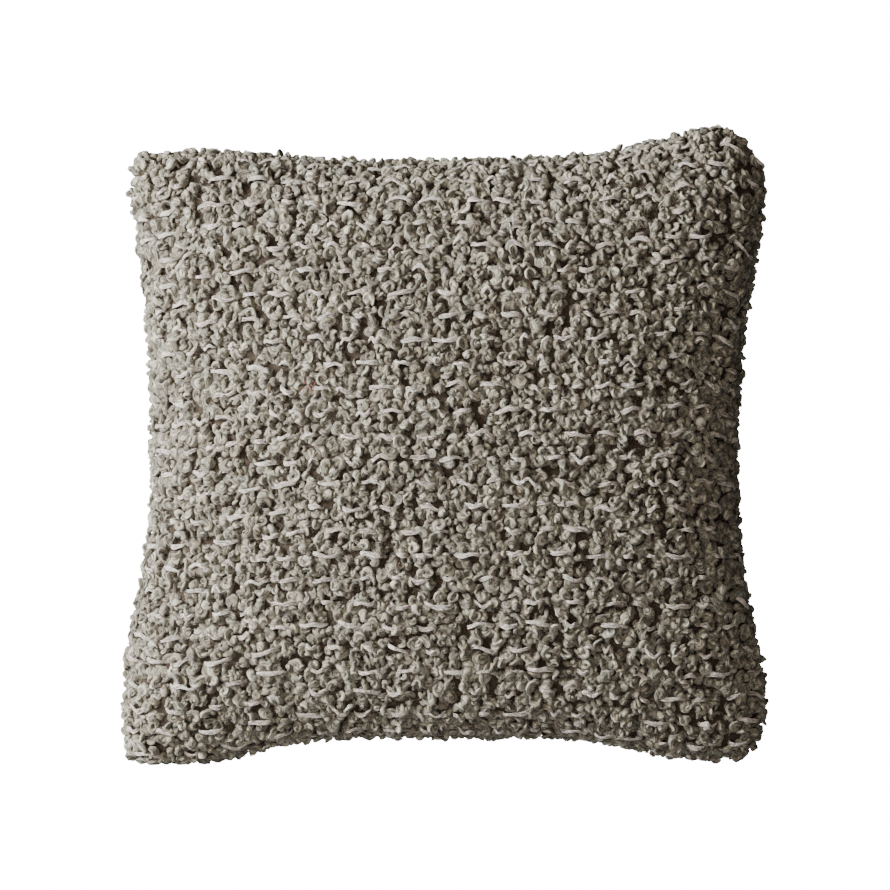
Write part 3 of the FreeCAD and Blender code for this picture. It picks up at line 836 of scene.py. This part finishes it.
def rim_loops():
    """Loops that stand out round the seam, where the looped cloth rolls over the edge."""
    spots = []
    for columns, level in ((int(FRONT.width / RIM_PITCH), "b"), (int(FRONT.height / RIM_PITCH), "a")):
        for end in (-1, 1):
            for layer in RIM_LAYERS:
                run = np.linspace(-RIM_END, RIM_END, columns) + RNG.normal(0, 0.004, columns)
                fixed = np.full(columns, end * layer)
                spots.append(np.stack([run, fixed] if level == "b" else [fixed, run], -1))
    a, b = np.clip(np.concatenate(spots), -1, 1).T
    count = len(a)
    length = 17
    paths, up = curl_paths(a, b, length, **curl_shape(RIM, count))
    radii = thickness(count, length, *THIN_YARN)
    ride_cover(tubes("boucle_rim", paths, radii, up, 11, lumps=0.13, flat=1.7), NUB_YARN)


def filler_yarn():
    """Lower, smaller twists that fill the spaces between the loops."""
    count = int(ROWS * COLUMNS * FILLER_SHARE)
    length = 11
    a = RNG.uniform(-ROLL_REACH, ROLL_REACH, count)
    b = RNG.uniform(-ROLL_REACH, ROLL_REACH, count)
    for number, part in enumerate(np.array_split(np.arange(count), FILLER_PARTS)):
        n = len(part)
        paths, up = curl_paths(a[part], b[part], length, **curl_shape(FILLER, n))
        radii = thickness(n, length, *THIN_YARN)
        tint = RNG.uniform(0, 0.7, n)
        obj = tubes("boucle_twists_%d" % number, paths, radii, up, 9, lumps=0.12, tint=tint, flat=1.8)
        ride_cover(obj, NUB_YARN)


# Ranges of the dashes, in millimetres
DASH_LENGTH = (9, 24)
DASH_GAP = (2, 20)
DASH_LIFT = (3.8, 6.0)

# Each dash is a few strands side by side
DASH_POINTS = 16
DASH_STRANDS = 3
DASH_SINK = 1.5 * MM
STRAND_PITCH = 0.95 * MM
STRAND_WEAVE = 0.45 * MM
STRAND_RISE = 0.35 * MM


def dash_places():
    """Where each dash starts, its row and its length, in cloth coordinates."""
    starts, rows, lengths = [], [], []
    for row in range(ROWS + 1):
        at = -1 + RNG.uniform(0, 0.05)
        while at < 1:
            long = RNG.uniform(*DASH_LENGTH) * MM * 2 / FRONT.width
            starts.append(at)
            rows.append(-1 + 2 * row / ROWS)
            lengths.append(long)
            at += long + RNG.uniform(*DASH_GAP) * MM * 2 / FRONT.width
    starts, rows, lengths = (np.array(v) for v in (starts, rows, lengths))
    keep = (np.abs(starts) < ROLL_REACH) & (starts + lengths < 1) & (np.abs(rows) < RIM_END)
    return starts[keep], rows[keep], lengths[keep]


def binder_dashes():
    """Pale binder yarn that surfaces in short dashes along each row."""
    starts, rows, lengths = dash_places()
    count = len(starts)
    tau = np.linspace(0, 1, DASH_POINTS)[None, :]
    rows = rows[:, None] + RNG.normal(0, 0.05, (count, 1)) / ROWS
    slope = RNG.normal(-0.08, 0.26, (count, 1)) / ROWS
    bend = RNG.normal(0, 0.14, (count, 1)) / ROWS
    wander = RNG.normal(0, 0.09, (count, 1)) / ROWS
    a = starts[:, None] + lengths[:, None] * tau
    b = rows + slope * (tau - 0.5) + bend * np.sin(math.pi * tau)
    b = b + wander * np.sin(tau * RNG.uniform(6, 11, (count, 1)) + wander * 900)
    point, normal, along = FRONT.place(a.ravel(), b.ravel())
    shape = (count, DASH_POINTS, 3)
    point, normal, along = point.reshape(shape), normal.reshape(shape), along.reshape(shape)
    across = np.cross(normal, along)
    lift = RNG.uniform(*DASH_LIFT, (count, 1)) * MM
    rise = np.sin(math.pi * tau) ** 0.35
    height = -DASH_SINK + (lift + DASH_SINK) * rise
    phase = RNG.uniform(0, 6, (count, 1))
    all_paths, all_radii, all_up = [], [], []
    for strand in range(DASH_STRANDS):
        lane = (strand - (DASH_STRANDS - 1) / 2) * STRAND_PITCH
        weave = np.sin(tau * RNG.uniform(4, 8, (count, 1)) + phase + strand * 2.1)
        offset = lane * (0.75 + 0.25 * rise) + weave * STRAND_WEAVE
        lifted = height + STRAND_RISE * np.cos(tau * 7 + phase + strand * 1.7)
        all_paths.append(point + across * offset[..., None] + normal * lifted[..., None])
        all_radii.append(thickness(count, DASH_POINTS, *BINDER_STRAND))
        all_up.append(normal)
    paths = np.concatenate(all_paths)
    radii = np.concatenate(all_radii)
    up = np.concatenate(all_up)
    tint = np.tile(RNG.uniform(0, 1, count), DASH_STRANDS)
    ride_cover(tubes("binder_dashes", paths, radii, up, 6, tint=tint, twist=0.6), BINDER_YARN)


FIBRE_POINTS = 7
FUZZ_COUNT = 2600
FUZZ_RADIUS = 0.11 * MM

# Ranges of the loose fibres, in millimetres
FUZZ_LENGTH = (4, 12)
FUZZ_LIFT = (3.0, 6.5)
STRAY_LENGTH = (8, 13)
STRAY_LIFT = (6.0, 7.5)


def hair_paths(a, b, length, lie, lift):
    """Fine fibres that leave the loops at cloth coordinates (a, b). lie is their heading in the cloth."""
    point, normal, along = FRONT.place(a, b)
    across = np.cross(normal, along)
    tau = np.linspace(0, 1, FIBRE_POINTS)[None, :]
    count = len(a)
    turn = lie[:, None] + RNG.uniform(-1.6, 1.6, (count, 1)) * tau
    gone = length[:, None] * tau
    height = lift[:, None] + RNG.uniform(-0.2, 0.35, (count, 1)) * gone
    paths = (
        point[:, None]
        + along[:, None] * (gone * np.cos(turn))[..., None]
        + across[:, None] * (gone * np.sin(turn))[..., None]
        + normal[:, None] * height[..., None]
    )
    return paths, normal[:, None] + 0 * paths


def loose_fibres():
    """Fuzz over the loops, one stray red fibre and one small tuft of pale fibres."""
    paths, up = hair_paths(
        RNG.uniform(-1, 1, FUZZ_COUNT),
        RNG.uniform(-1, 1, FUZZ_COUNT),
        RNG.uniform(*FUZZ_LENGTH, FUZZ_COUNT) * MM,
        RNG.uniform(-math.pi, math.pi, FUZZ_COUNT),
        RNG.uniform(*FUZZ_LIFT, FUZZ_COUNT) * MM,
    )
    radii = np.full(paths.shape[:2], FUZZ_RADIUS)
    ride_cover(tubes("loose_fibres", paths, radii, up, 3), NUB_YARN)
    for name, place, strands, thick, material in (
        ("stray_red_fibre", (-0.40, 0.17), 3, 0.35 * MM, RED_YARN),
        ("pale_tuft", (0.185, 0.66), 6, 0.45 * MM, BINDER_YARN),
    ):
        paths, up = hair_paths(
            place[0] + RNG.uniform(-0.007, 0.007, strands),
            place[1] + RNG.uniform(-0.01, 0.01, strands),
            RNG.uniform(*STRAY_LENGTH, strands) * MM,
            math.pi / 2 + RNG.uniform(-0.3, 0.3, strands),
            RNG.uniform(*STRAY_LIFT, strands) * MM,
        )
        radii = np.full(paths.shape[:2], thick)
        ride_cover(tubes(name, paths, radii, up, 5), material)


# Insert and seams

# How far the insert stands in from the cover's outline
CASING_INSET = INSERT_LOW.x - FRONT_LOW.x
CASING_ROLL = 2 * MM
CASING_THICK = 2 * MM


def insert_pieces():
    s, t = sheet_grid(60)
    thick = HALF_DEPTH + INSERT_LOW.y
    for name, extra, stands_for, slot, material in (
        ("insert_casing", 0.0, ("insert_front", "insert_back"), "casing", CASING),
        ("insert_filling", CASING_THICK, ("fibre_fill",), "fill", FILLING),
    ):
        front = surface(-1, s, t, CASING_INSET + extra, thick + extra, CASING_ROLL)
        back = surface(1, s, t, CASING_INSET + extra, thick + extra, CASING_ROLL)
        obj = grid_object(name, front, back)
        use(obj, material)
        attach(obj, "cover")
        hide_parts(*stands_for)


def stitch_run(sides, inset):
    """Paths of short stitches that follow stretches of the outline."""
    paths = []
    for name, first, last in sides:
        run = np.linspace(first, last, 400)
        fixed = np.ones_like(run)
        s, t = {
            "left": (-fixed, run),
            "right": (fixed, run),
            "top": (run, fixed),
            "bottom": (run, -fixed),
        }[name]
        x, z = outline(s, t, inset)
        line = np.stack([x, np.zeros_like(x), z], -1)
        gone = np.concatenate([[0], np.cumsum(np.linalg.norm(np.diff(line, axis=0), axis=1))])
        for start in np.arange(0, gone[-1] - STITCH_LENGTH, STITCH_PITCH):
            at = start + np.linspace(0, STITCH_LENGTH, 6)
            paths.append(np.stack([np.interp(at, gone, line[:, i]) for i in range(3)], -1))
    return np.array(paths)


def stitches(name, sides, inset, stands_for, material):
    paths = stitch_run(sides, inset)
    radii = np.full(paths.shape[:2], STITCH_RADIUS)
    up = np.zeros_like(paths)
    up[..., 1] = -1
    obj = tubes(name, paths, radii, up, 6, front=False)
    use(obj, material)
    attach(obj, "cover")
    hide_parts(*stands_for)


def seams():
    zip_end = ZIP_HALF / HALF_WIDTH * ZIP_END_EASE
    whole = [(side, -SEAM_END, SEAM_END) for side in ("left", "right", "top")]
    lower = [("bottom", -SEAM_END, -zip_end), ("bottom", zip_end, SEAM_END)]
    threads = ["left", "right", "top", "bottom_left", "bottom_right"]
    stitches(
        "seam_stitches", whole + lower, SEAM_INSET,
        ["seam_thread_" + side for side in threads], THREAD,
    )
    stitches(
        "insert_stitches", whole + [("bottom", -SEAM_END, SEAM_END)], CASING_INSET,
        ["insert_thread", "insert_closing_thread"], WHITE_THREAD,
    )


CAD_MATERIALS = {
    "zip_tape_front": TAPE,
    "zip_tape_back": TAPE,
    "zip_coil_front": COIL,
    "zip_coil_back": COIL,
    "zip_stitch_front": THREAD,
    "zip_stitch_back": THREAD,
    "zip_top_stops": METAL,
    "zip_bottom_stop": METAL,
    "zip_bar_tacks": THREAD,
    "zip_slider": METAL,
    "zip_pull": METAL,
}


def dress_cad_nodes():
    for node, material in CAD_MATERIALS.items():
        use(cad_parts[node], material)


# Stage

# Seen by the camera, a glow this strong is plain white
WHITE_STRENGTH = 20.0
STAGE_GREY = 0.35
STAGE_SIZE = 12
BACKDROP_AWAY = 3.0
FLOOR_DROP = 0.5 * MM
AMBIENT = 0.05
WHITE = (1.0, 1.0, 1.0)
WARM = (1.0, 0.84, 0.68)

# Name, place, size, power and colour
LIGHTS = (
    ("key", (-2.25, -1.08, 1.0), 1.1, 300, WHITE),
    ("fill", (-1.0, -2.45, 0.7), 2.0, 38, WARM),
)
CAMERA_DISTANCE = 3.2
VIEW_WIDTH = 0.717
SENSOR_WIDTH = 36


def white_stage(name, place, turn):
    bpy.ops.mesh.primitive_plane_add(size=STAGE_SIZE, location=place, rotation=turn)
    obj = bpy.context.object
    obj.name = name
    material = bpy.data.materials.new(name)
    material.use_nodes = True
    nodes = material.node_tree.nodes
    links = material.node_tree.links
    nodes.clear()
    path = nodes.new("ShaderNodeLightPath")
    glow = nodes.new("ShaderNodeEmission")
    glow.inputs["Strength"].default_value = WHITE_STRENGTH
    matt = nodes.new("ShaderNodeBsdfDiffuse")
    matt.inputs["Color"].default_value = (STAGE_GREY, STAGE_GREY, STAGE_GREY, 1)
    both = nodes.new("ShaderNodeMixShader")
    out = nodes.new("ShaderNodeOutputMaterial")
    links.new(path.outputs["Is Camera Ray"], both.inputs[0])
    links.new(matt.outputs[0], both.inputs[1])
    links.new(glow.outputs[0], both.inputs[2])
    links.new(both.outputs[0], out.inputs["Surface"])
    obj.data.materials.append(material)


def soft_light(name, place, size, power, color):
    data = bpy.data.lights.new(name, "AREA")
    data.shape = "DISK"
    data.size = size
    data.energy = power
    data.color = color
    obj = bpy.data.objects.new(name, data)
    bpy.context.scene.collection.objects.link(obj)
    obj.location = place
    obj.rotation_euler = (Vector((0, 0, MIDDLE_Z)) - Vector(place)).to_track_quat("-Z", "Y").to_euler()


def studio():
    white_stage("floor", (0, 0, -FLOOR_DROP), (0, 0, 0))
    white_stage("backdrop", (0, BACKDROP_AWAY, BACKDROP_AWAY), (math.pi / 2, 0, 0))
    for light in LIGHTS:
        soft_light(*light)
    world = bpy.data.worlds.new("studio")
    world.use_nodes = True
    nodes = world.node_tree.nodes
    links = world.node_tree.links
    ambient = nodes["Background"]
    ambient.inputs["Color"].default_value = (*WARM, 1)
    ambient.inputs["Strength"].default_value = AMBIENT
    seen = nodes.new("ShaderNodeBackground")
    seen.inputs["Color"].default_value = (*WHITE, 1)
    seen.inputs["Strength"].default_value = WHITE_STRENGTH
    path = nodes.new("ShaderNodeLightPath")
    choose = nodes.new("ShaderNodeMixShader")
    links.new(path.outputs["Is Camera Ray"], choose.inputs[0])
    links.new(ambient.outputs[0], choose.inputs[1])
    links.new(seen.outputs[0], choose.inputs[2])
    links.new(choose.outputs[0], nodes["World Output"].inputs["Surface"])
    bpy.context.scene.world = world


def camera():
    data = bpy.data.cameras.new("camera")
    data.sensor_width = SENSOR_WIDTH
    data.lens = SENSOR_WIDTH * CAMERA_DISTANCE / VIEW_WIDTH
    obj = bpy.data.objects.new("camera", data)
    bpy.context.scene.collection.objects.link(obj)
    obj.location = (0, -CAMERA_DISTANCE, HEIGHT / 2)
    obj.rotation_euler = (math.pi / 2, 0, 0)
    bpy.context.scene.camera = obj


front_ground()
back_cloth()
loops_of_yarn()
rim_loops()
filler_yarn()
binder_dashes()
loose_fibres()
insert_pieces()
seams()
dress_cad_nodes()
studio()
camera()
